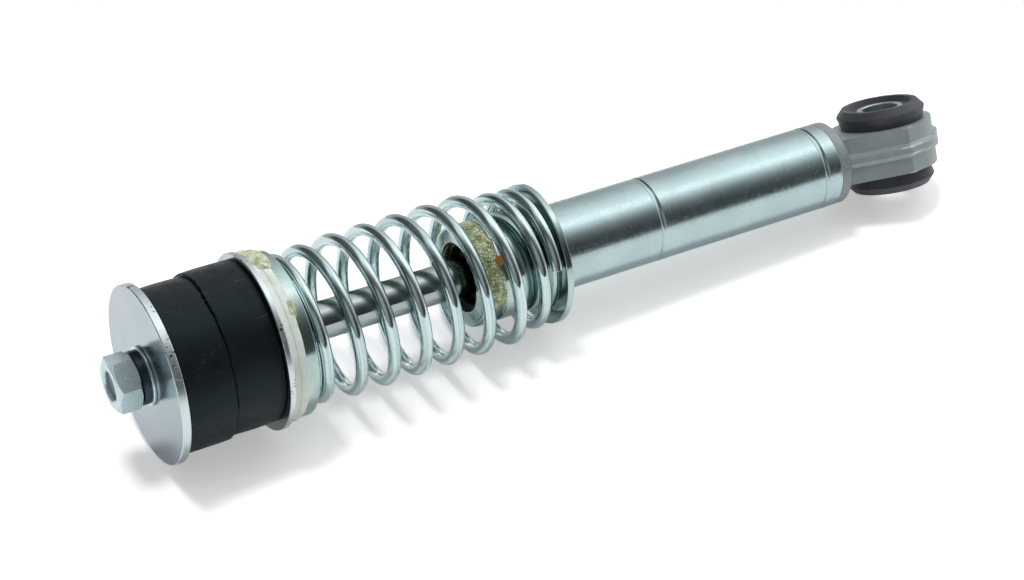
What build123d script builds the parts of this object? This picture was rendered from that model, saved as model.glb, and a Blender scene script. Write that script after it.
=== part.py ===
from build123d import *
import math
import os

os.makedirs("parts", exist_ok=True)

# Sprung friction damper of a washing machine, in millimetres.
# The origin is the middle of the eye's bore. X runs along the strut, from the
# threaded stud (low X) to the eye, and Z is the axis of the eye's bore.
# The strut is drawn fully extended, as it lies on the bench.

# Fits and gaps
fit_gap = 0.05          # radial play between round pieces that don't move on each other
running_gap = 0.05      # radial play of the rod in its guide and its lining
free_gap = 0.3          # air between a spring coil and what it pushes on
edge_break = 0.4        # small broken edge

# Eye end: sleeve, rubber bush and housing
eye_bore_d = 13.0
sleeve_d = 16.8
sleeve_length = 28.0
bush_height = 30.6
bush_collar_d = 32.0
bush_collar_foot_d = 29.6
bush_lip_d = 27.6       # top of the collar's bevel
bush_dish_d = 24.0      # mouth of the dished ring round the sleeve
bush_neck_d = 25.0
bush_bevel = 2.6        # height of the collar's bevel
bush_dish_depth = 1.8
housing_height = 16.7
housing_corner_x = -2.0 # where the housing is widest
housing_width = 36.8
housing_corner_r = 2.0
housing_nose_r = 17.3   # round nose, nearly about the bore's axis
housing_nose_x = 0.5
housing_neck_width = 15.2
housing_neck_r = 1.5
rib_height = 1.0
rib_crest = 2.0         # flat top of the side rib
rib_foot = 5.2          # width of the side rib where it leaves the housing
nose_rib_width = 5.0
nose_rib_r = 15.8
nose_rib_x = 4.0        # centre of the nose rib's arc, so the rib rises towards the tip
shoulder_d = 29.8       # round shoulder that closes the tube
shoulder_rim = 3.6
shoulder_bevel = 1.0
spigot_length = 12.3
spigot_core_d = 18.0
spigot_core_depth = 11.0

# Tube and the two beads rolled into it
tube_d = 30.0
tube_wall = 1.5
tube_length = 142.9
eye_to_tube = 29.4      # eye's axis to the tube's closed end
bead_depth = 0.45
bead_width = 2.2
eye_bead_inset = 6.3    # tube's closed end to the bead that holds the eye's spigot
cage_bead_inset = 74.8  # tube's closed end to the bead that holds the lining's cage

# Spring hat, guide bush and friction lining at the tube's mouth
hat_sheet = 2.5
hat_length = 30.9
hat_mouth_d = 24.4
hat_flange_d = 49.0
hat_shoulder_r = 1.5
hat_root_r = 1.8
guide_flange = 2.0
guide_depth = 16.0
guide_recess_d = 21.0
guide_recess_depth = 3.0
cage_bore_d = 20.0
cage_end_wall = 2.5
cage_hole_gap = 0.3
lining_end_gap = 0.5

# Rod, stud and the stop on the rod's inner end
rod_d = 13.0
stud_d = 9.8
stud_chamfer = 0.9
stud_recess = 1.4       # nut's outer face to the stud's end
rod_tip = 7.5           # rod beyond the retaining ring
rebound_buffer_d = 21.0
rebound_buffer_t = 4.0
stop_washer_d = 23.0
stop_washer_t = 2.0
clip_groove_depth = 0.8
clip_d = 18.0
clip_t = 1.5
clip_opening = 7.0

# Coil spring
wire_d = 4.3
spring_length = 97.1    # cup's floor to hat's flange, strut extended
active_pitch = 11.8
closed_pitch = 4.45
spring_body_d = 54.0    # outside diameter of the working coils
spring_hat_d = 48.6     # outside diameter of the coils on the hat
spring_turns = 9.162
wire_end_angle = 95.0   # seen from the stud, from +Z towards -Y
points_per_turn = 12

# Clamped stack at the stud end
cup_sheet = 1.5
cup_d = 56.0
cup_depth = 3.6
cup_wall = 1.7
cup_corner_r = 1.2
cup_coil_gap = 0.4      # air round the coils in the cup
ring_t = 4.2
ring_front_rim = 0.5    # the nylon ring stands out round the cup by this much at the disc
ring_back_rim = 0.1     # and by this much at the cup
disc_d = 60.0
disc_t = 2.0
plate_t = 3.0
buffer_d = 55.0
buffer_t = 17.0
buffer_edge_r = 0.8
buffer_bore_gap = 0.75  # the buffers sit a little off centre on their sleeve
front_buffer_drop = 0.35
rear_buffer_rise = 0.65
spacer_d = 16.0
stack_hole_gap = 0.3    # radial play of the discs on the stud
washer_d = 20.0
washer_t = 1.1
lock_washer_d = 18.1
lock_washer_t = 2.5
lock_washer_slit = 1.2
lock_washer_slant = 30.0
nut_flats = 17.0
nut_t = 8.4
nut_turn = 7.0          # corner below -Y, as the nut was left
nut_face_d = 15.4       # flat ring left by the chamfer
nut_chamfer_angle = 30.0
nut_countersink = 0.6

# Radii worked out from the diameters
rod_r = rod_d / 2
stud_r = stud_d / 2
tube_r = tube_d / 2
tube_bore_r = tube_r - tube_wall
wire_r = wire_d / 2
spring_cup_coil_d = cup_d - 2 * cup_wall - 2 * cup_coil_gap
ring_d = cup_d + 2 * ring_front_rim
ring_small_d = cup_d + 2 * ring_back_rim
stack_hole_r = stud_r + stack_hole_gap

# Stations along X, from the eye to the stud
tube_end_x = -eye_to_tube
tube_mouth_x = tube_end_x - tube_length
eye_bead_x = tube_end_x - eye_bead_inset
cage_bead_x = tube_end_x - cage_bead_inset
hat_front_x = tube_mouth_x - guide_flange - hat_sheet
hat_back_x = hat_front_x + hat_length
hat_seat_x = hat_back_x - hat_sheet
cup_floor_x = hat_seat_x - spring_length
cup_back_x = cup_floor_x - cup_sheet
ring_x = cup_back_x - ring_t
disc_x = ring_x - disc_t
rear_buffer_x = disc_x - buffer_t
front_buffer_x = rear_buffer_x - buffer_t
plate_x = front_buffer_x - plate_t
washer_x = plate_x - washer_t
lock_washer_x = washer_x - lock_washer_t
nut_x = lock_washer_x - nut_t
cage_end_x = cage_bead_x - bead_width / 2
rebound_end_x = cage_end_x + rebound_buffer_t
clip_x = rebound_end_x + stop_washer_t
rod_end_x = clip_x + clip_t + rod_tip


def round_disc(x, thickness, outer_r, hole_r):
    """A flat ring about the strut's axis, from x towards the eye."""
    with BuildSketch(Plane.YZ.offset(x)) as ring:
        Circle(outer_r)
        Circle(hole_r, mode=Mode.SUBTRACT)
    extrude(ring.sketch, amount=thickness)


def turned(*points):
    """A solid turned about the strut's axis from its (x, radius) outline."""
    with BuildSketch(Plane.XZ) as profile:
        with BuildLine():
            Polyline(*points, close=True)
        make_face()
    revolve(profile.sketch, axis=Axis.X)


def widest_rims(piece):
    """The round edges of the largest radius."""
    return piece.edges().filter_by(GeomType.CIRCLE).group_by(SortBy.RADIUS)[-1]


# Steel sleeve of the eye
with BuildPart() as eye_sleeve:
    with BuildSketch(Plane.XY.offset(-sleeve_length / 2)):
        Circle(sleeve_d / 2)
        Circle(eye_bore_d / 2, mode=Mode.SUBTRACT)
    extrude(amount=sleeve_length)
    fillet(eye_sleeve.edges().filter_by(GeomType.CIRCLE), edge_break)

# Rubber bush of the eye, with a dished collar on each side
bush_top = bush_height / 2
collar_foot = housing_height / 2
collar_top = bush_top - bush_bevel
with BuildPart() as eye_bush:
    with BuildSketch(Plane.XZ):
        with BuildLine():
            Polyline(
                (sleeve_d / 2 + fit_gap, 0),
                (sleeve_d / 2 + fit_gap, bush_top - bush_dish_depth),
                (bush_dish_d / 2 - bush_dish_depth / 2, bush_top - bush_dish_depth),
                (bush_dish_d / 2, bush_top),
                (bush_lip_d / 2, bush_top),
                (bush_collar_d / 2, collar_top),
                (bush_collar_foot_d / 2, collar_foot),
                (bush_neck_d / 2, collar_foot),
                (bush_neck_d / 2, 0),
                close=True,
            )
        make_face()
        mirror(about=Plane.XZ)
    revolve(axis=Axis.Z)
    fillet(widest_rims(eye_bush), edge_break)

# Eye housing: plan outline, ribs on the parting plane, and the plug for the tube
housing_half = housing_height / 2


def housing_outline(grow, height):
    """The housing's plan, grown by a rib's height, on a plane at that height."""
    with BuildSketch(Plane.XY.offset(height)) as outline:
        corner_y = housing_width / 2 - housing_corner_r
        neck_y = housing_neck_width / 2 - housing_neck_r
        with Locations((housing_corner_x, corner_y), (housing_corner_x, -corner_y)):
            Circle(housing_corner_r + grow)
        with Locations((housing_nose_x, 0)):
            Circle(housing_nose_r + grow)
        neck_x = tube_end_x + shoulder_rim + shoulder_bevel
        with Locations((neck_x, neck_y), (neck_x, -neck_y)):
            Circle(housing_neck_r + grow)
        make_hull()
    return outline.sketch


spigot_r = tube_bore_r - 2 * fit_gap
crest_half = rib_crest / 2
foot_half = rib_foot / 2
with BuildPart() as eye_housing:
    extrude(housing_outline(rib_height, 0), amount=crest_half)
    loft([housing_outline(rib_height, crest_half), housing_outline(0, foot_half)], ruled=True)
    extrude(housing_outline(0, foot_half), amount=housing_half - foot_half)
    with BuildSketch():
        with Locations((nose_rib_x, 0)):
            Circle(nose_rib_r)
    extrude(amount=nose_rib_width / 2)
    mirror(about=Plane.XY)
    turned(
        (tube_end_x - spigot_length, 0),
        (tube_end_x - spigot_length, spigot_r),
        (eye_bead_x - bead_width / 2, spigot_r),
        (eye_bead_x - bead_width / 4, spigot_r - bead_depth),
        (eye_bead_x + bead_width / 4, spigot_r - bead_depth),
        (eye_bead_x + bead_width / 2, spigot_r),
        (tube_end_x, spigot_r),
        (tube_end_x, shoulder_d / 2),
        (tube_end_x + shoulder_rim, shoulder_d / 2),
        (tube_end_x + shoulder_rim + shoulder_bevel, shoulder_d / 2 - shoulder_bevel),
        (tube_end_x + shoulder_rim + shoulder_bevel, 0),
    )
    with BuildSketch(Plane.YZ.offset(tube_end_x - spigot_length)):
        Circle(spigot_core_d / 2)
    extrude(amount=spigot_core_depth, mode=Mode.SUBTRACT)
    with BuildSketch(Plane.XY.offset(-housing_height)):
        Circle(bush_neck_d / 2 + fit_gap)
    extrude(amount=2 * housing_height, mode=Mode.SUBTRACT)


def rolled_bead(x):
    """A shallow bead rolled into the tube: a groove outside and a ridge inside."""
    half = bead_width / 2
    for wall_r, mode in ((tube_bore_r, Mode.ADD), (tube_r, Mode.SUBTRACT)):
        with BuildSketch(Plane.XZ) as bead:
            with BuildLine():
                ThreePointArc((x - half, wall_r), (x, wall_r - bead_depth), (x + half, wall_r))
                Line((x + half, wall_r), (x - half, wall_r))
            make_face()
        revolve(bead.sketch, axis=Axis.X, mode=mode)


# Damper tube with its two rolled beads
with BuildPart() as damper_tube:
    round_disc(tube_mouth_x, tube_length, tube_r, tube_bore_r)
    fillet(damper_tube.edges().filter_by(GeomType.CIRCLE), edge_break)
    rolled_bead(eye_bead_x)
    rolled_bead(cage_bead_x)

# Spring hat: drawn sheet over the tube's mouth, with the flange that the spring pushes on
hat_inner_r = tube_r + 2 * fit_gap
hat_outer_r = hat_inner_r + hat_sheet
with BuildPart() as spring_hat:
    with BuildSketch(Plane.XZ):
        with BuildLine():
            FilletPolyline(
                (hat_front_x, hat_mouth_d / 2),
                (hat_front_x, hat_outer_r),
                (hat_seat_x, hat_outer_r),
                (hat_seat_x, hat_flange_d / 2),
                (hat_back_x, hat_flange_d / 2),
                (hat_back_x, hat_inner_r),
                (hat_front_x + hat_sheet, hat_inner_r),
                (hat_front_x + hat_sheet, hat_mouth_d / 2),
                radius=[
                    edge_break,
                    hat_shoulder_r,
                    hat_root_r,
                    edge_break,
                    edge_break,
                    edge_break,
                    edge_break / 2,
                    edge_break,
                ],
                close=True,
            )
        make_face()
    revolve(axis=Axis.X)

# Plastic guide bush between the hat's lip and the tube's mouth
guide_x = hat_front_x + hat_sheet
guide_end_x = tube_mouth_x + guide_depth
guide_bore_r = rod_r + running_gap
with BuildPart() as guide_bush:
    turned(
        (guide_x, guide_recess_d / 2),
        (guide_x, tube_r - edge_break),
        (guide_x + edge_break, tube_r),
        (tube_mouth_x, tube_r),
        (tube_mouth_x, tube_bore_r - fit_gap),
        (guide_end_x, tube_bore_r - fit_gap),
        (guide_end_x, guide_bore_r),
        (guide_x + guide_recess_depth, guide_bore_r),
        (guide_x + guide_recess_depth, guide_recess_d / 2),
    )

# Cage that holds the friction lining against the tube's inner bead
cage_r = tube_bore_r - fit_gap
with BuildPart() as lining_cage:
    turned(
        (guide_end_x, cage_bore_d / 2),
        (guide_end_x, cage_r),
        (cage_end_x, cage_r),
        (cage_end_x, rod_r + cage_hole_gap),
        (cage_end_x - cage_end_wall, rod_r + cage_hole_gap),
        (cage_end_x - cage_end_wall, cage_bore_d / 2),
    )

# Greased felt lining that rubs on the rod
lining_x = guide_end_x + lining_end_gap
lining_end_x = cage_end_x - cage_end_wall - lining_end_gap
with BuildPart() as friction_lining:
    round_disc(lining_x, lining_end_x - lining_x, cage_bore_d / 2 - fit_gap, rod_r + running_gap)

# Piston rod with its threaded stud and the groove for the retaining ring
clip_groove_r = rod_r - clip_groove_depth
with BuildPart() as piston_rod:
    turned(
        (nut_x + stud_recess, 0),
        (nut_x + stud_recess, stud_r - stud_chamfer),
        (nut_x + stud_recess + stud_chamfer, stud_r),
        (cup_floor_x, stud_r),
        (cup_floor_x, rod_r),
        (clip_x, rod_r),
        (clip_x, clip_groove_r),
        (clip_x + clip_t, clip_groove_r),
        (clip_x + clip_t, rod_r),
        (rod_end_x - stud_chamfer, rod_r),
        (rod_end_x, rod_r - stud_chamfer),
        (rod_end_x, 0),
    )

# Stop on the rod's inner end: rubber ring, washer and retaining ring
with BuildPart() as rebound_buffer:
    round_disc(cage_end_x, rebound_buffer_t, rebound_buffer_d / 2, rod_r + fit_gap)
    fillet(widest_rims(rebound_buffer), edge_break)

with BuildPart() as stop_washer:
    round_disc(rebound_end_x, stop_washer_t, stop_washer_d / 2, rod_r + fit_gap)

with BuildPart() as retaining_ring:
    round_disc(clip_x, clip_t, clip_d / 2, clip_groove_r + fit_gap)
    with Locations((clip_x + clip_t / 2, 0, -clip_d / 2)):
        Box(2 * clip_t, clip_opening, clip_d, mode=Mode.SUBTRACT)


def ease(share):
    """A smooth step from 0 to 1."""
    share = min(max(share, 0.0), 1.0)
    return share * share * (3 - 2 * share)


# Coil spring: turns are counted from the wire's cut end on the hat's flange
open_from, open_to = 0.5, 1.4         # where the pitch opens out from the closed end coil
close_from, close_to = 7.8, 8.15      # where it closes again before the cup
spread_from, spread_to = 1.1, 1.9     # where the coils widen to the working diameter
narrow_from, narrow_to = 6.6, 8.0     # where they narrow again to fit in the cup


def coil_pitch(turn):
    opening = min(max((turn - open_from) / (open_to - open_from), 0), 1)
    closing = min(max((turn - close_from) / (close_to - close_from), 0), 1)
    return closed_pitch + (active_pitch - closed_pitch) * (opening - closing)


def coil_radius(turn):
    widened = ease((turn - spread_from) / (spread_to - spread_from))
    narrowed = ease((turn - narrow_from) / (narrow_to - narrow_from))
    outside = spring_hat_d + (spring_body_d - spring_hat_d) * widened
    outside -= (spring_body_d - spring_cup_coil_d) * narrowed
    return outside / 2 - wire_r


def coil_point(turn, x):
    angle = math.radians(wire_end_angle - 360 * turn)
    radius = coil_radius(turn)
    return Vector(x, -radius * math.sin(angle), radius * math.cos(angle))


coil_steps = round(spring_turns * points_per_turn)
turn_step = spring_turns / coil_steps
free_stack = sum(coil_pitch((i + 0.5) * turn_step) * turn_step for i in range(coil_steps))
coil_room = spring_length - wire_d - 2 * free_gap
squeeze = coil_room / free_stack
coil_x = hat_seat_x - free_gap - wire_r
coil_line = [coil_point(0, coil_x)]
for step in range(coil_steps):
    coil_x -= squeeze * coil_pitch((step + 0.5) * turn_step) * turn_step
    coil_line.append(coil_point((step + 1) * turn_step, coil_x))

with BuildPart() as coil_spring:
    with BuildLine() as wire_path:
        Spline(*coil_line)
    with BuildSketch(Plane(origin=wire_path.line @ 0, z_dir=wire_path.line % 0)):
        Circle(wire_r)
    sweep(path=wire_path.line, is_frenet=True)

# Cup that centres the spring's first coils
with BuildPart() as spring_cup:
    turned(
        (cup_back_x, stack_hole_r),
        (cup_back_x, cup_d / 2),
        (cup_floor_x + cup_depth, cup_d / 2),
        (cup_floor_x + cup_depth, cup_d / 2 - cup_wall),
        (cup_floor_x, cup_d / 2 - cup_wall),
        (cup_floor_x, stack_hole_r),
    )
    fillet(widest_rims(spring_cup).sort_by(Axis.X)[0], cup_corner_r)
    fillet(widest_rims(spring_cup).sort_by(Axis.X)[-1], edge_break)

# Nylon ring between the cup and the disc
with BuildPart() as centring_ring:
    turned(
        (ring_x, stack_hole_r),
        (ring_x, ring_d / 2),
        (cup_back_x, ring_small_d / 2),
        (cup_back_x, stack_hole_r),
    )

# Disc behind the rubber buffers
with BuildPart() as flange_disc:
    round_disc(disc_x, disc_t, disc_d / 2, stack_hole_r)
    fillet(widest_rims(flange_disc), edge_break)

# Two rubber buffers on a spacer sleeve
buffer_bore_r = spacer_d / 2 + buffer_bore_gap


def buffer(x, rise):
    """A thick rubber ring whose axis lies a little above the strut's."""
    with BuildSketch(Plane.YZ.offset(x)) as ring:
        with Locations((0, rise)):
            Circle(buffer_d / 2)
            Circle(buffer_bore_r, mode=Mode.SUBTRACT)
    extrude(ring.sketch, amount=buffer_t)


with BuildPart() as rear_buffer:
    buffer(rear_buffer_x, rear_buffer_rise)
    fillet(widest_rims(rear_buffer), buffer_edge_r)

with BuildPart() as front_buffer:
    buffer(front_buffer_x, -front_buffer_drop)
    fillet(widest_rims(front_buffer), buffer_edge_r)

with BuildPart() as spacer_sleeve:
    round_disc(front_buffer_x, 2 * buffer_t, spacer_d / 2, stack_hole_r)

# Plate under the nut, with the washers
with BuildPart() as front_plate:
    round_disc(plate_x, plate_t, disc_d / 2, stack_hole_r)
    fillet(widest_rims(front_plate), edge_break)

with BuildPart() as plain_washer:
    round_disc(washer_x, washer_t, washer_d / 2, stack_hole_r)
    fillet(widest_rims(plain_washer), edge_break)

with BuildPart() as spring_lock_washer:
    round_disc(lock_washer_x, lock_washer_t, lock_washer_d / 2, stack_hole_r)
    slit_place = Location((lock_washer_x + lock_washer_t / 2, lock_washer_d / 2, 0), (0, 0, 0))
    with Locations(slit_place * Location((0, 0, 0), (0, lock_washer_slant, 0))):
        Box(4 * lock_washer_t, lock_washer_d, lock_washer_slit, mode=Mode.SUBTRACT)

# Hexagon nut with chamfered ends
with BuildPart() as lock_nut:
    with BuildSketch(Plane.YZ.offset(nut_x)):
        RegularPolygon(nut_flats / 2, 6, major_radius=False, rotation=nut_turn)
        Circle(stud_r + fit_gap, mode=Mode.SUBTRACT)
    extrude(amount=nut_t)
    nut_face_r = nut_face_d / 2
    nut_corner_r = nut_flats / math.sqrt(3)
    nut_slope = (nut_corner_r + edge_break - nut_face_r) * math.tan(math.radians(nut_chamfer_angle))
    with BuildSketch(Plane.XZ):
        with BuildLine():
            Polyline(
                (nut_x, 0),
                (nut_x, nut_face_r),
                (nut_x + nut_slope, nut_corner_r + edge_break),
                (lock_washer_x - nut_slope, nut_corner_r + edge_break),
                (lock_washer_x, nut_face_r),
                (lock_washer_x, 0),
                close=True,
            )
        make_face()
    revolve(axis=Axis.X, mode=Mode.INTERSECT)
    bore_rims = lock_nut.edges().filter_by(GeomType.CIRCLE).group_by(SortBy.RADIUS)[0]
    chamfer(bore_rims, nut_countersink)

pieces = {
    "eye_sleeve": eye_sleeve,
    "eye_bush": eye_bush,
    "eye_housing": eye_housing,
    "damper_tube": damper_tube,
    "spring_hat": spring_hat,
    "guide_bush": guide_bush,
    "lining_cage": lining_cage,
    "friction_lining": friction_lining,
    "coil_spring": coil_spring,
    "piston_rod": piston_rod,
    "rebound_buffer": rebound_buffer,
    "stop_washer": stop_washer,
    "retaining_ring": retaining_ring,
    "spring_cup": spring_cup,
    "centring_ring": centring_ring,
    "flange_disc": flange_disc,
    "rear_buffer": rear_buffer,
    "front_buffer": front_buffer,
    "spacer_sleeve": spacer_sleeve,
    "front_plate": front_plate,
    "plain_washer": plain_washer,
    "spring_lock_washer": spring_lock_washer,
    "lock_nut": lock_nut,
}
for name, piece in pieces.items():
    piece.part.label = name
    export_step(piece.part, f"parts/{name}.step")
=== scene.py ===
import math

import bmesh
import bpy
from mathutils import Matrix, Vector, noise


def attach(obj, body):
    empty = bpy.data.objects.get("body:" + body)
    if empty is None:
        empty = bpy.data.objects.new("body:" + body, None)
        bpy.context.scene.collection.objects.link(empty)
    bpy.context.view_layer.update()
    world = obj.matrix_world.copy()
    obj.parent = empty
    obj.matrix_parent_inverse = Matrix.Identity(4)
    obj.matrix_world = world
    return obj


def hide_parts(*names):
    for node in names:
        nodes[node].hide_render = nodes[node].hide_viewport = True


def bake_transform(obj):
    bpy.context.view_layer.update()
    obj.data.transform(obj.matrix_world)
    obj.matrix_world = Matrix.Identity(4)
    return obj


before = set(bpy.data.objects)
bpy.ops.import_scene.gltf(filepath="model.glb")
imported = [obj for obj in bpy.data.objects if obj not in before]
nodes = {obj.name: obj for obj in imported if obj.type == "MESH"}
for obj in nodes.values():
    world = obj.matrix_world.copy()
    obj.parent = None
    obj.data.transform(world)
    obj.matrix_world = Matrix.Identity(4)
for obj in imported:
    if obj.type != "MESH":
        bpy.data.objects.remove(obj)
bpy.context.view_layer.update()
scene = bpy.context.scene
mm = 0.001

# Places along the strut, in metres from the eye's axis
buffer_front_x = -287.2 * mm
buffer_seam_x = -270.2 * mm
disc_x = -253.2 * mm
cup_back_x = -247.0 * mm
cup_floor_x = -245.5 * mm
hat_front_x = -176.8 * mm
hat_seat_x = -148.4 * mm
plug_x = -24.6 * mm

# Radii of the turned surfaces that are dressed or modelled here
rim_r = (29.6 * mm, 29.8 * mm)
buffer_r, buffer_bore_r = 27.4 * mm, 8.75 * mm
ring_r, cup_r, hat_r = 28.4 * mm, 28.0 * mm, 17.5 * mm


# Camera: the photograph's viewpoint, fitted to the plate's and the tube's outlines
camera_data = bpy.data.cameras.new("camera")
camera = bpy.data.objects.new("camera", camera_data)
scene.collection.objects.link(camera)
scene.camera = camera
camera_data.sensor_width = 36.0
camera_data.lens = 89.776
camera_data.clip_start = 0.05
camera_data.clip_end = 20.0
camera.matrix_world = Matrix((
    (0.870247, 0.276319, -0.407821, -0.512015),
    (-0.454678, 0.131956, -0.880827, -0.764058),
    (-0.189575, 0.951964, 0.240471, 0.198857),
    (0.0, 0.0, 0.0, 1.0),
))


# Node helpers for the materials and the world
class Nodes:
    """A node tree, with short calls for the nodes that drive a shader."""

    def __init__(self, tree, place):
        self.tree = tree
        self.place = self.node("ShaderNodeTexCoord").outputs[place]

    def link(self, value, socket):
        """Links a socket, or sets it to a plain value."""
        if isinstance(value, bpy.types.NodeSocket):
            self.tree.links.new(value, socket)
        else:
            socket.default_value = value

    def node(self, kind, inputs=None, **settings):
        made = self.tree.nodes.new(kind)
        for key, value in settings.items():
            setattr(made, key, value)
        for key, value in (inputs or {}).items():
            self.link(value, made.inputs[key])
        return made

    def stretched(self, x, y, z):
        """The place, scaled along each axis, so that marks run along an axis."""
        return self.node("ShaderNodeMapping", {"Vector": self.place, "Scale": (x, y, z)}).outputs[0]

    def noise(self, scale, detail=3.0, roughness=0.5, place=None, distortion=0.0):
        inputs = {
            "Vector": place or self.place,
            "Scale": scale,
            "Detail": detail,
            "Roughness": roughness,
            "Distortion": distortion,
        }
        return self.node("ShaderNodeTexNoise", inputs).outputs["Fac"]

    def span(self, value, low, high, to_low=0.0, to_high=1.0, smooth=False):
        kind = "SMOOTHSTEP" if smooth else "LINEAR"
        inputs = {0: value, 1: low, 2: high, 3: to_low, 4: to_high}
        return self.node("ShaderNodeMapRange", inputs, interpolation_type=kind).outputs[0]

    def band(self, value, low, high, edge):
        """1 between low and high, falling to 0 over the edge's width outside them."""
        rise = self.span(value, low - edge, low, smooth=True)
        fall = self.span(value, high, high + edge, 1.0, 0.0, smooth=True)
        return self.math("MULTIPLY", rise, fall)

    def math(self, operation, a, b=0.0):
        return self.node("ShaderNodeMath", {0: a, 1: b}, operation=operation).outputs[0]

    def dot(self, direction):
        inputs = {0: self.place, 1: direction}
        return self.node("ShaderNodeVectorMath", inputs, operation="DOT_PRODUCT").outputs["Value"]

    def curve(self, value, *stops):
        """A smooth curve through (position, level) stops, levels up to 2."""
        ramp_node = self.node("ShaderNodeValToRGB", {0: value})
        ramp = ramp_node.color_ramp
        while len(ramp.elements) < len(stops):
            ramp.elements.new(0.5)
        for element, (position, level) in zip(ramp.elements, stops):
            element.position = position
            element.color = (level / 2, level / 2, level / 2, 1.0)
        return self.math("MULTIPLY", ramp_node.outputs[0], 2.0)

    def mix(self, share, a, b):
        made = self.node("ShaderNodeMix", {0: share}, data_type="RGBA")
        self.link(a, made.inputs[6])
        self.link(b, made.inputs[7])
        return made.outputs[2]

    def along(self, axis):
        """The X, Y or Z coordinate."""
        return self.node("ShaderNodeSeparateXYZ", {0: self.place}).outputs[axis]

    def from_axis(self):
        """The distance from the strut's axis."""
        flat = self.stretched(0.0, 1.0, 1.0)
        return self.node("ShaderNodeVectorMath", {0: flat}, operation="LENGTH").outputs["Value"]

    def turn(self):
        """The angle about the strut, in radians: 0 at the front (-Y), a quarter turn at the top."""
        place = self.node("ShaderNodeSeparateXYZ", {0: self.place})
        back = self.math("MULTIPLY", place.outputs[1], -1.0)
        return self.math("ARCTAN2", place.outputs[2], back)

    def bump(self, height, distance, strength=1.0, normal=None):
        inputs = {"Height": height, "Distance": distance, "Strength": strength}
        if normal:
            inputs["Normal"] = normal
        return self.node("ShaderNodeBump", inputs).outputs[0]


class Finish(Nodes):
    """A material and its Principled shader."""

    def __init__(self, name, **sockets):
        self.material = bpy.data.materials.new(name)
        self.material.use_nodes = True
        super().__init__(self.material.node_tree, "Object")
        self.shader = self.tree.nodes["Principled BSDF"]
        for socket, value in sockets.items():
            self.put(socket.replace("_", " "), value)

    def put(self, socket, value):
        """Sets a shader socket, or links it."""
        named = {made.name.lower(): made for made in self.shader.inputs}
        self.link(value, named[socket.lower()])


def tone(red, green, blue):
    """An sRGB colour, 0 to 255, as the linear values that Blender takes."""
    def linear(c):
        c /= 255
        return c / 12.92 if c <= 0.04045 else ((c + 0.055) / 1.055) ** 2.4
    return (linear(red), linear(green), linear(blue), 1.0)


def zinc(name, pale, dull, rough=0.22, grain=(1.0, 1.0, 1.0), fleck=0.15, peel=0.3):
    """Bright zinc plate: patches of two tones, fine specks and rubbed lines."""
    f = Finish(name, metallic=1.0)
    patches = f.noise(60.0, 5.0, 0.6)
    colour = f.mix(f.span(patches, 0.35, 0.65), pale, dull)
    specks = f.span(f.noise(1800.0, 2.0, 0.6), 0.58, 0.75, 0.0, fleck)
    f.colour = f.mix(specks, colour, tone(84, 94, 96))
    f.put("base color", f.colour)
    lines = f.noise(900.0, 3.0, 0.6, f.stretched(*grain))
    f.put("roughness", f.span(lines, 0.3, 0.7, rough * 0.85, rough * 1.25))
    orange_peel = f.bump(f.noise(450.0, 2.0, 0.5), 0.00002, peel)
    f.skin = f.bump(lines, 0.00001, 0.3, orange_peel)
    f.put("normal", f.skin)
    return f


def use(finish, *names):
    for name in names:
        slots = nodes[name].material_slots
        if not slots:
            nodes[name].data.materials.append(None)
        for slot in nodes[name].material_slots:
            slot.material = finish.material


# Zinc plated pieces: the base colour is what the metal shows of a white studio
tube_zinc = zinc("tube_zinc", tone(186, 207, 209), tone(172, 194, 197), 0.22, peel=0.45, fleck=0.2)
plate_zinc = zinc("plate_zinc", tone(176, 189, 197), tone(166, 181, 190), 0.22, fleck=0.04, peel=0.06)
washer_zinc = zinc("washer_zinc", tone(232, 244, 246), tone(206, 220, 223), 0.32)
cup_zinc = zinc("cup_zinc", tone(186, 206, 202), tone(158, 182, 178), 0.16, (1.0, 0.2, 0.2), peel=0.5)
sleeve_zinc = zinc("sleeve_zinc", tone(224, 234, 234), tone(196, 210, 210), 0.3)
use(tube_zinc, "damper_tube")
use(plate_zinc, "front_plate")
use(washer_zinc, "plain_washer", "spacer_sleeve", "stop_washer")
use(cup_zinc, "spring_cup")
use(sleeve_zinc, "eye_sleeve")

# The two discs' rims are punched: dark specks where the sheet tore, in a few patches
for disc_finish, disc in ((plate_zinc, "front_plate"), (None, "flange_disc")):
    f = disc_finish or zinc("disc_zinc", tone(190, 204, 202), tone(172, 188, 186), 0.18, fleck=0.05)
    torn = f.span(f.noise(1300.0, 3.0, 0.6, f.stretched(0.4, 1.0, 1.0)), 0.56, 0.62)
    patchy = f.span(f.noise(75.0, 2.0), 0.51, 0.56)
    on_rim = f.span(f.from_axis(), *rim_r)
    torn = f.math("MULTIPLY", f.math("MULTIPLY", torn, patchy), on_rim)
    f.put("roughness", f.span(on_rim, 0.0, 1.0, 0.2, 0.3))
    rim_tone = f.mix(on_rim, f.colour, tone(212, 225, 226))
    f.put("base color", f.mix(torn, rim_tone, tone(62, 64, 58)))
    f.put("normal", f.bump(torn, 0.0001, 0.5, f.skin))
    use(f, disc)

# The nut's flats are scratched by the spanner
nut_zinc = zinc("nut_zinc", tone(218, 240, 244), tone(200, 222, 227), 0.3, fleck=0.0)
scored = nut_zinc.noise(300.0, 3.0, 0.6, nut_zinc.stretched(1.0, 0.6, 0.4), 0.8)
scored = nut_zinc.band(scored, 0.565, 0.575, 0.01)
bared = nut_zinc.math("MULTIPLY", scored, 0.8)
nut_zinc.put("base color", nut_zinc.mix(bared, nut_zinc.colour, tone(228, 250, 255)))
nut_zinc.put("normal", nut_zinc.bump(scored, 0.00007, 0.3))
nut_zinc.put("metallic", 0.75)
use(nut_zinc, "lock_nut")

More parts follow.
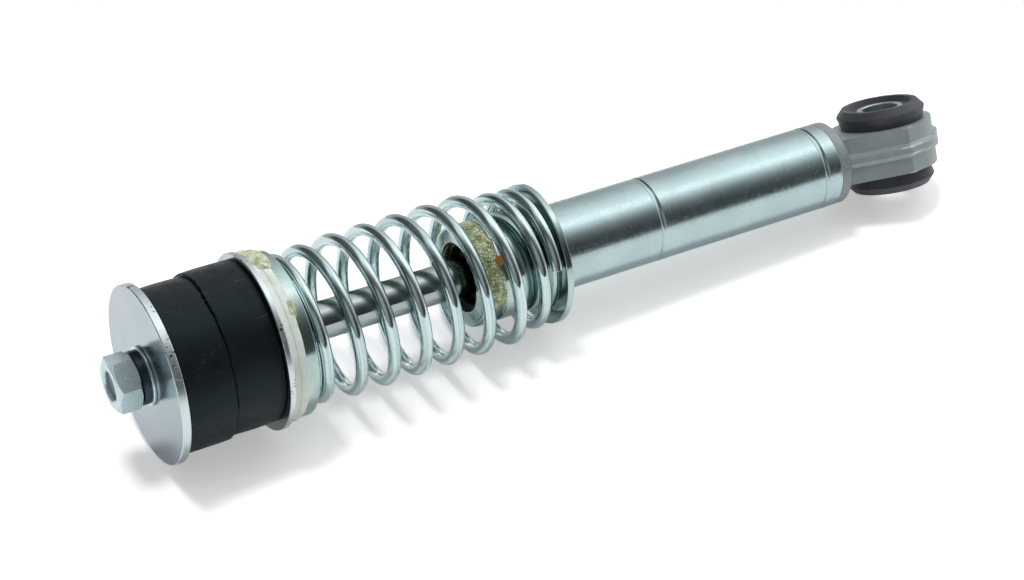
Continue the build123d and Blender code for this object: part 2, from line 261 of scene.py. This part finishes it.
# The wire is drawn: fine grooves run along it, by its own coordinates
wire_zinc = Finish("wire_zinc", metallic=1.0)
lay = wire_zinc.node("ShaderNodeAttribute", attribute_name="lay").outputs["Vector"]
grooves = wire_zinc.noise(2.6, 3.0, 0.6, lay)
scuffs = wire_zinc.span(wire_zinc.noise(900.0, 3.0, 0.6), 0.6, 0.74, 0.0, 0.35)
deep = wire_zinc.span(grooves, 0.42, 0.62)
wire_tone = wire_zinc.mix(deep, tone(208, 226, 227), tone(174, 196, 198))
wire_zinc.put("base color", wire_zinc.mix(scuffs, wire_tone, tone(112, 124, 124)))
wire_zinc.put("roughness", wire_zinc.span(grooves, 0.3, 0.7, 0.05, 0.13))
wire_zinc.put("normal", wire_zinc.bump(grooves, 0.00016, 0.6))

# The hat carries a green film of grease round its mouth
hat_zinc = zinc("hat_zinc", tone(190, 208, 206), tone(160, 182, 178), 0.14, (1.0, 0.3, 0.3))
edge_wander = hat_zinc.math("SUBTRACT", hat_zinc.noise(240.0, 3.0), 0.5)
film_x = hat_zinc.math("ADD", hat_zinc.along(0), hat_zinc.math("MULTIPLY", edge_wander, 3.5 * mm))
film = hat_zinc.band(film_x, hat_front_x + 1.6 * mm, hat_front_x + 8.0 * mm, 1.0 * mm)
film = hat_zinc.math("MULTIPLY", film, hat_zinc.span(hat_zinc.turn(), -0.9, -0.4))
thick = hat_zinc.span(hat_zinc.noise(420.0, 4.0, 0.7), 0.4, 0.6)
film_tone = hat_zinc.mix(thick, tone(206, 216, 184), tone(120, 132, 68))
# Painted highlight: pale specks in the film's colour stand in for its glints
painted_glint = hat_zinc.span(hat_zinc.noise(2000.0, 2.0, 0.7), 0.56, 0.64)
film_tone = hat_zinc.mix(painted_glint, film_tone, tone(240, 242, 208))
hat_zinc.put("base color", hat_zinc.mix(film, hat_zinc.colour, film_tone))
cover = hat_zinc.math("MULTIPLY", film, hat_zinc.span(thick, 0.0, 1.0, 0.05, 0.5))
hat_zinc.put("metallic", hat_zinc.math("SUBTRACT", 1.0, cover))
hat_zinc.put("roughness", hat_zinc.span(film, 0.0, 1.0, 0.15, 0.13))
wet = hat_zinc.math("MULTIPLY", hat_zinc.noise(1000.0, 3.0, 0.6), film)
hat_zinc.put("normal", hat_zinc.bump(wet, 0.0006, 0.9, hat_zinc.skin))
use(hat_zinc, "spring_hat")

# The rod is ground and chromed, its stud dull zinc
chrome = Finish("rod_chrome", metallic=1.0)
stud = chrome.span(chrome.along(0), cup_floor_x - mm, cup_floor_x, 1.0, 0.0)
chrome.put("base color", chrome.mix(stud, tone(166, 178, 177), tone(128, 138, 138)))
worn = chrome.span(chrome.noise(60.0, 4.0, 0.5, chrome.stretched(0.2, 1.0, 1.0)), 0.3, 0.7, 0.09, 0.15)
chrome.put("roughness", chrome.math("MAXIMUM", worn, chrome.math("MULTIPLY", stud, 0.42)))
use(chrome, "piston_rod")

dark_steel = Finish("dark_steel", metallic=1.0)
steel_tone = dark_steel.mix(dark_steel.noise(400.0), tone(50, 62, 68), tone(92, 106, 112))
dark_steel.put("base color", steel_tone)
dark_steel.put("roughness", dark_steel.span(dark_steel.noise(700.0), 0.3, 0.7, 0.2, 0.4))
use(dark_steel, "spring_lock_washer", "retaining_ring")

# Rubber buffers: blue-black, with dust, bloom and a few scratches
rubber = Finish("buffer_rubber", specular_ior_level=0.28, specular_tint=(0.62, 0.9, 1.0, 1.0))
bloom = rubber.mix(rubber.noise(70.0, 4.0, 0.6), tone(12, 16, 20), tone(19, 24, 28))
dust = rubber.span(rubber.noise(1300.0, 2.0, 0.7), 0.71, 0.78, 0.0, 0.5)
scratch = rubber.noise(260.0, 2.0, 0.5, rubber.stretched(0.25, 1.0, 1.6), 1.2)
scratch = rubber.band(scratch, 0.498, 0.502, 0.003)
rare = rubber.span(rubber.noise(90.0, 1.0), 0.56, 0.66)
scratch = rubber.math("MULTIPLY", rubber.math("MULTIPLY", scratch, rare), 0.35)
marks = rubber.math("MAXIMUM", dust, scratch)
rubber.put("base color", rubber.mix(marks, bloom, tone(112, 118, 116)))
rubber.put("roughness", rubber.span(rubber.noise(300.0, 4.0), 0.3, 0.7, 0.36, 0.52))
rubber.put("normal", rubber.bump(rubber.noise(420.0, 5.0, 0.6), 0.00008, 0.45))
use(rubber, "front_buffer", "rear_buffer", "rebound_buffer")

bush_rubber = Finish("bush_rubber", specular_ior_level=0.5)
bush_tone = bush_rubber.mix(bush_rubber.noise(90.0, 4.0), tone(55, 56, 62), tone(79, 81, 88))
bush_rubber.put("base color", bush_tone)
bush_rubber.put("roughness", bush_rubber.span(bush_rubber.noise(200.0, 3.0), 0.3, 0.7, 0.42, 0.58))
bush_rubber.put("normal", bush_rubber.bump(bush_rubber.noise(700.0, 4.0), 0.00005, 0.6))
use(bush_rubber, "eye_bush")

ivory = Finish("ivory_nylon")
stain = ivory.span(ivory.noise(80.0, 5.0, 0.6), 0.5, 0.7)
ivory.put("base color", ivory.mix(stain, tone(238, 247, 242), tone(214, 224, 212)))
ivory.put("roughness", ivory.span(ivory.noise(150.0), 0.3, 0.7, 0.3, 0.5))
ivory.put("subsurface weight", 0.15)
ivory.put("subsurface radius", (0.004, 0.004, 0.003))
ivory.put("normal", ivory.bump(ivory.noise(300.0, 3.0), 0.0001, 0.6))
use(ivory, "centring_ring")

black_nylon = Finish("black_nylon", base_color=tone(22, 23, 26))
black_nylon.put("roughness", black_nylon.span(black_nylon.noise(300.0), 0.3, 0.7, 0.3, 0.5))
use(black_nylon, "guide_bush", "lining_cage")

felt = Finish("felt", roughness=0.9)
felt.put("base color", felt.mix(felt.noise(900.0, 4.0), tone(120, 112, 84), tone(168, 160, 130)))
use(felt, "friction_lining")

# Grey moulding of the eye, with painted highlights along its edges, and a paler, speckled plug
moulded = Finish("grey_moulding", metallic=0.3)
base = moulded.mix(moulded.noise(350.0, 4.0), tone(146, 159, 161), tone(168, 179, 180))
speck = moulded.span(moulded.noise(1700.0, 3.0, 0.65), 0.56, 0.7, 0.0, 0.7)
on_plug = moulded.span(moulded.along(0), plug_x, plug_x - 0.3 * mm)
speckle = moulded.mix(speck, tone(146, 155, 158), tone(200, 206, 208))
off_middle = moulded.math("ABSOLUTE", moulded.along(2))
# Painted highlight: pale lines along the housing's outer and rib edges, in patches, stand in for the
# edges catching the light
outer_edges = moulded.band(off_middle, 8.0 * mm, 8.5 * mm, 0.25 * mm)
inner_edges = moulded.band(off_middle, 1.2 * mm, 1.5 * mm, 0.25 * mm)
painted_edge_highlight = moulded.math("MAXIMUM", outer_edges, inner_edges)
patchy = moulded.span(moulded.noise(260.0, 4.0, 0.6), 0.38, 0.6, 0.15, 0.8)
painted_edge_highlight = moulded.math("MULTIPLY", painted_edge_highlight, patchy)
side = moulded.math("ABSOLUTE", moulded.along(1))
painted_edge_highlight = moulded.math("MULTIPLY", painted_edge_highlight, moulded.span(side, 17.6 * mm, 18.2 * mm))
edge_highlit_base = moulded.mix(painted_edge_highlight, base, tone(238, 243, 243))
moulded.put("base color", moulded.mix(on_plug, edge_highlit_base, speckle))
moulded.put("roughness", moulded.span(moulded.noise(500.0), 0.3, 0.7, 0.32, 0.44))
moulded.put("normal", moulded.bump(moulded.noise(900.0, 4.0), 0.00004, 0.3))
use(moulded, "eye_housing")

grease = Finish("grease", roughness=0.2, ior=1.47)
dirt = grease.span(grease.noise(260.0, 4.0, 0.65), 0.4, 0.6)
clumps = grease.mix(dirt, tone(222, 230, 204), tone(170, 177, 138))
# Painted highlight: pale specks in the grease's colour stand in for its glints
painted_glints = grease.span(grease.noise(1500.0, 2.0, 0.7), 0.62, 0.7)
grease.put("base color", grease.mix(painted_glints, clumps, tone(240, 243, 228)))
grease.put("subsurface weight", 0.3)
grease.put("subsurface radius", (0.003, 0.003, 0.002))
grease.put("normal", grease.bump(grease.noise(700.0, 4.0, 0.6), 0.00018, 0.6))

old_grease = Finish("old_grease", roughness=0.3)
old_tone = old_grease.mix(old_grease.noise(600.0, 3.0), tone(214, 132, 48), tone(150, 84, 26))
old_grease.put("base color", old_tone)
old_grease.put("normal", old_grease.bump(old_grease.noise(900.0, 3.0), 0.0002, 0.8))


# Mesh helpers for the pieces that are modelled here
def made_mesh(name, vertices, faces, finish, body, sharp=math.radians(40)):
    """A closed mesh that rides on a body."""
    mesh = bpy.data.meshes.new(name)
    mesh.from_pydata(vertices, [], faces)
    mesh.materials.append(finish.material)
    piece = bpy.data.objects.new(name, mesh)
    scene.collection.objects.link(piece)
    shape = bmesh.new()
    shape.from_mesh(mesh)
    bmesh.ops.recalc_face_normals(shape, faces=shape.faces)
    shape.to_mesh(mesh)
    shape.free()
    for face in mesh.polygons:
        face.use_smooth = True
    mesh.set_sharp_from_angle(angle=sharp)
    if body:
        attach(piece, body)
    return piece


def on_strut(x, radius, angle, rise=0.0):
    """A point at a turn about the strut: 0 is the front (-Y), a quarter turn is the top."""
    return (x, -radius * math.cos(angle), rise + radius * math.sin(angle))


def lathed(name, outline, finish, body, shift=None, rise=0.0, segments=240):
    """A ring from its closed (x, radius) outline. shift(i, angle) gives what to add to a point."""
    vertices, faces = [], []
    for j in range(segments):
        angle = 2 * math.pi * j / segments
        for i, (x, radius) in enumerate(outline):
            dx, dr = shift(i, angle) if shift else (0.0, 0.0)
            vertices.append(on_strut(x + dx, radius + dr, angle, rise))
    rows = len(outline)
    for j in range(segments):
        after = (j + 1) % segments
        for i in range(rows):
            k = (i + 1) % rows
            faces.append((j * rows + i, j * rows + k, after * rows + k, after * rows + i))
    return made_mesh(name, vertices, faces, finish, body)


def rough(scale, x, radius, angle, seed):
    """Smooth noise from -1 to 1 over a turned surface."""
    return noise.noise(Vector(on_strut(x, radius, angle)) * scale + Vector((seed, seed, seed)))


def smear(name, radius_at, x_span, turn_span, height, body, seed, finish, steps, corner):
    """Grease on a turned surface, ragged at its edge. A corner of 2 makes it round, more a band."""
    across, along = steps
    tops, floors = [], []
    for i in range(across + 1):
        x = x_span[0] + (x_span[1] - x_span[0]) * i / across
        off_x = abs(2 * i / across - 1) ** corner
        for j in range(along + 1):
            angle = math.radians(turn_span[0] + (turn_span[1] - turn_span[0]) * j / along)
            fade = ease(2.2 * (1 - off_x - abs(2 * j / along - 1) ** corner))
            lumps = 0.75 + 0.7 * rough(240.0, x, radius_at(x), angle, seed)
            lumps += 0.15 * rough(800.0, x, radius_at(x), angle, seed + 7)
            lift = height * max(lumps * fade - 0.3, -0.2)
            tops.append(on_strut(x, radius_at(x) + max(lift, -0.12 * mm), angle))
            floors.append(on_strut(x, radius_at(x) - 0.25 * mm, angle))
    row = along + 1
    count = len(tops)
    faces = []
    for i in range(across):
        for j in range(along):
            a, b, c, d = i * row + j, i * row + j + 1, (i + 1) * row + j + 1, (i + 1) * row + j
            faces.append((a, b, c, d))
            faces.append((a + count, d + count, c + count, b + count))
    border = list(range(row))
    border += [(i + 1) * row - 1 for i in range(1, across + 1)]
    border += [across * row + j for j in range(row - 2, -1, -1)]
    border += [i * row for i in range(across - 1, 0, -1)]
    for k, a in enumerate(border):
        b = border[(k + 1) % len(border)]
        faces.append((a, a + count, b + count, b))
    return made_mesh(name, tops + floors, faces, finish, body, math.radians(80))


def ease(share):
    share = min(max(share, 0.0), 1.0)
    return share * share * (3 - 2 * share)


# Coil spring: the wire's turns are counted from its cut end on the hat's flange
wire_r = 2.15 * mm
spring_turns = 9.162
spring_room = 97.1 * mm - 2 * wire_r - 0.6 * mm
wire_end = math.radians(95.0)
active_pitch = 11.8 * mm
closed_pitch = 4.45 * mm
hat_coil_d, body_coil_d, cup_coil_d = 48.6 * mm, 54.0 * mm, 51.8 * mm
open_from, open_over = 0.5, 0.9
close_from, close_over = 7.8, 0.35


def opened(turn):
    """How far the coils are open: 0 at the closed ends, 1 between them."""
    opening = min(max((turn - open_from) / open_over, 0.0), 1.0)
    closing = min(max((turn - close_from) / close_over, 0.0), 1.0)
    return opening - closing


def coil_radius(turn):
    outside = hat_coil_d + (body_coil_d - hat_coil_d) * ease((turn - 1.1) / 0.8)
    outside -= (body_coil_d - cup_coil_d) * ease((turn - 6.6) / 1.4)
    return outside / 2 - wire_r


ring_steps = 84
rings = round(spring_turns * ring_steps)
turn_step = spring_turns / rings
closed_run = closed_pitch * spring_turns
open_share = sum(opened((i + 0.5) * turn_step) for i in range(rings)) * turn_step
open_run = (active_pitch - closed_pitch) * open_share
squeeze = spring_room / (closed_run + open_run)
wire_line, shares = [], []
run = 0.0
for i in range(rings + 1):
    turn = i * turn_step
    shares.append(run / open_run)
    drop = squeeze * (closed_pitch * turn + run)
    angle = wire_end - 2 * math.pi * turn
    radius = coil_radius(turn)
    x = hat_seat_x - 0.3 * mm - wire_r - drop
    wire_line.append(Vector((x, -radius * math.sin(angle), radius * math.cos(angle))))
    run += (active_pitch - closed_pitch) * opened(turn + turn_step / 2) * turn_step

sides = 28
vertices, weights, lays = [], [], []


def wire_ring(index, size, ahead=0.0):
    """One ring of the wire, square to it."""
    before, after = wire_line[max(index - 1, 0)], wire_line[min(index + 1, rings)]
    tangent = (after - before).normalized()
    centre = wire_line[index] + tangent * ahead
    outward = Vector((0.0, centre.y, centre.z))
    outward = (outward - outward.dot(tangent) * tangent).normalized()
    aside = tangent.cross(outward)
    for k in range(sides):
        a = 2 * math.pi * k / sides
        vertices.append(centre + (outward * math.cos(a) + aside * math.sin(a)) * size)
        weights.append(shares[index])
        lays.extend((math.cos(a), math.sin(a), index * turn_step * 0.35))


burr = 0.25 * mm
wire_ring(0, wire_r - burr, 0.0)
for i in range(rings + 1):
    wire_ring(i, wire_r, burr if i == 0 else (-burr if i == rings else 0.0))
wire_ring(rings, wire_r - burr, 0.0)
ring_count = rings + 3
faces = [tuple(reversed(range(sides)))]
faces.append(tuple(range((ring_count - 1) * sides, ring_count * sides)))
for i in range(ring_count - 1):
    for k in range(sides):
        after = (k + 1) % sides
        faces.append((i * sides + k, i * sides + after, (i + 1) * sides + after, (i + 1) * sides + k))
spring = made_mesh("spring_wire", vertices, faces, wire_zinc, None)
spring.data.attributes.new("lay", "FLOAT_VECTOR", "POINT").data.foreach_set("vector", lays)
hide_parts("coil_spring")
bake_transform(spring)


# Rubber buffers, whose wavy edges meet at the seam
def seam_wave(angle):
    """How far the seam strays from flat: cut rubber, most of all at the top front."""
    wave = noise.noise(Vector((math.cos(angle) * 2.2, math.sin(angle) * 2.2, 3.1)))
    wave += 0.6 * noise.noise(Vector((math.cos(angle) * 9.0, math.sin(angle) * 9.0, 8.4)))
    chips = noise.noise(Vector((math.cos(angle) * 38.0, math.sin(angle) * 38.0, 5.0)))
    chips *= max(math.sin(angle + 0.5), 0.0) ** 2
    return (wave + 0.9 * chips) * 0.5 * mm


def buffer_outline(near_x, seam_x, outer_r, inner_r):
    """The buffer's section, from its plain end to its end at the seam."""
    away = 1 if seam_x > near_x else -1
    lip = 0.35 * mm
    corner = 0.8 * mm
    corner_steps = 3
    crown = 0.12 * mm
    points = [(near_x, inner_r), (near_x, outer_r - corner)]
    for k in range(1, corner_steps + 1):
        a = math.pi / 2 * k / corner_steps
        x = near_x + away * corner * (1 - math.cos(a))
        points.append((x, outer_r - corner * (1 - math.sin(a))))
    side_steps = 9
    for k in range(1, side_steps):
        share = k / side_steps
        x = near_x + (seam_x - near_x) * share
        points.append((x, outer_r + crown * math.sin(math.pi * share)))
    points += [(seam_x - away * 1.2 * mm, outer_r), (seam_x - away * lip, outer_r)]
    points += [(seam_x, outer_r - lip), (seam_x, inner_r)]
    return points


def buffer_shift(outline, near_x, seam_x):
    def shift(i, angle):
        x, radius = outline[i]
        share = (x - near_x) / (seam_x - near_x)
        if radius <= 20 * mm:
            return 0.0, 0.0
        strength = max(share - 0.6, 0.0) / 0.4
        return seam_wave(angle) * strength, 0.1 * mm * rough(160.0, x, radius, angle, 2.0)
    return shift


for name, near_x, seam_x, rise in (
    ("front_rubber", buffer_front_x, buffer_seam_x - 0.02 * mm, -0.35 * mm),
    ("rear_rubber", disc_x, buffer_seam_x + 0.02 * mm, 0.65 * mm),
):
    outline = buffer_outline(near_x, seam_x, buffer_r, buffer_bore_r)
    shift = buffer_shift(outline, near_x, seam_x)
    piece = lathed(name, outline, rubber, "rod", shift, rise)
    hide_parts("front_buffer" if name == "front_rubber" else "rear_buffer")


# Grease, as the photograph shows it: lumps on the nylon ring, the cup and the hat
def ring_skin(x):
    """The radius of the nylon ring and of the cup behind it."""
    return ring_r if x < cup_back_x else cup_r


def hat_skin(x):
    return hat_r


for name, skin, x_span, turn_span, height, body, seed, finish, steps, corner in (
    ("ring_grease", ring_skin, (-251.0, -243.6), (60, 110), 1.25, "rod", 3.0, grease, (36, 100), 3),
    ("cup_grease", ring_skin, (-247.5, -244.6), (20, 35), 0.55, "rod", 11.0, grease, (30, 50), 2),
    ("ring_edge", ring_skin, (-248.6, -245.8), (-76, 72), 0.34, "rod", 14.0, ivory, (16, 280), 8),
    ("hat_speck", hat_skin, (-170.0, -166.8), (13, 26), 1.0, "tube", 8.0, old_grease, (24, 24), 2),
):
    x_span = (x_span[0] * mm, x_span[1] * mm)
    smear(name, skin, x_span, turn_span, height * mm, body, seed, finish, steps, corner)


# The studio stands square to the table of the photograph, on which the strut lies rolled forward
table_up = Vector((-0.041, -0.425, 0.904)).normalized()
view_out = -camera.matrix_world.col[2].to_3d()
studio_far = (view_out - view_out.dot(table_up) * table_up).normalized()
studio_right = studio_far.cross(table_up)


def studio_direction(height, aside):
    """A direction in the studio, from its height and its angle right of the view, in degrees."""
    height, aside = math.radians(height), math.radians(aside)
    level = studio_far * math.cos(aside) + studio_right * math.sin(aside)
    return level * math.cos(height) + table_up * math.sin(height)


# Floor: white, through the disc's lowest point and the eye's. From below it can't be seen.
floor_mesh = bpy.data.meshes.new("floor")
rest_depth = 19.8 * mm
corners = [(-3.0, -3.0), (3.0, -3.0), (3.0, 0.12), (-3.0, 0.12)]
floor_mesh.from_pydata(
    [studio_far * b + studio_right * a - table_up * rest_depth for a, b in corners],
    [],
    [(0, 1, 2, 3)],
)
floor = bpy.data.objects.new("floor", floor_mesh)
scene.collection.objects.link(floor)
floor_finish = Finish("floor_white", roughness=1.0, specular_ior_level=0.0)
floor_finish.put("base color", (0.97, 0.97, 0.97, 1.0))
looks = floor_finish.node("ShaderNodeLightPath").outputs
seen_directly = floor_finish.math("MULTIPLY", looks["Is Camera Ray"], 0.4)
mirrored = floor_finish.math("MAXIMUM", looks["Is Glossy Ray"], looks["Is Transmission Ray"])
lift = floor_finish.math("MAXIMUM", seen_directly, floor_finish.math("MULTIPLY", mirrored, 0.15))
floor_finish.put("emission color", (1.0, 1.0, 1.0, 1.0))
floor_finish.put("emission strength", lift)
tree = floor_finish.tree
clear = floor_finish.node("ShaderNodeBsdfTransparent").outputs[0]
from_below = floor_finish.node("ShaderNodeNewGeometry").outputs["Backfacing"]
seen_from_above = floor_finish.shader.outputs[0]
seen = floor_finish.node("ShaderNodeMixShader", {0: from_below, 1: seen_from_above, 2: clear})
tree.links.new(seen.outputs[0], tree.nodes["Material Output"].inputs["Surface"])
floor_mesh.materials.append(floor_finish.material)

# World: a white backdrop, and for light and reflections a soft studio, dark behind the camera
world = bpy.data.worlds.new("studio")
scene.world = world
world.use_nodes = True
studio = Nodes(world.node_tree, "Generated")
height = studio.dot(table_up)
walls = studio.curve(
    height,
    (0.0, 0.5), (0.34, 0.62), (0.5, 0.74), (0.64, 0.9), (0.76, 1.08), (1.0, 1.25),
)
dark_side = studio.curve(
    studio.math("ADD", studio.math("MULTIPLY", studio.dot(studio_far), 0.5), 0.5),
    (0.28, 0.1), (0.37, 0.24), (0.435, 0.45), (0.5, 0.68), (0.58, 1.0),
)
room = studio.math("MULTIPLY", walls, dark_side)
flag = studio.span(studio.dot(studio_direction(34, -60)), 0.72, 0.91, 1.0, 0.14, smooth=True)
room = studio.math("MULTIPLY", room, flag)
for (high, aside), near, full, strength in (
    ((60, 64), 0.978, 0.996, 0.42),
    ((60, 64), 0.89, 0.985, 0.22),
    ((20, 46), 0.8, 0.97, 0.55),
    ((22, 180), 0.78, 0.96, 0.26),
):
    panel = studio.span(studio.dot(studio_direction(high, aside)), near, full, 0.0, strength, smooth=True)
    room = studio.math("ADD", room, panel)
background = world.node_tree.nodes["Background"]
background.inputs["Color"].default_value = (1.0, 1.0, 1.0, 1.0)
studio.link(room, background.inputs["Strength"])
white = studio.node("ShaderNodeBackground", {"Color": (1.0, 1.0, 1.0, 1.0), "Strength": 1.0})
by_camera = studio.node("ShaderNodeLightPath").outputs["Is Camera Ray"]
shown = {0: by_camera, 1: background.outputs[0], 2: white.outputs[0]}
both = studio.node("ShaderNodeMixShader", shown)
world.node_tree.links.new(both.outputs[0], world.node_tree.nodes["World Output"].inputs["Surface"])

# Key light: large and soft, from the upper left, for the shadow that falls to the lower right
key_data = bpy.data.lights.new("key", "SUN")
key_data.energy = 1.2
key_data.angle = math.radians(13)
key = bpy.data.objects.new("key", key_data)
key.matrix_world = studio_direction(78, -50).to_track_quat("Z", "Y").to_matrix().to_4x4()
key.visible_glossy = False
scene.collection.objects.link(key)
scene.view_settings.view_transform = "Standard"
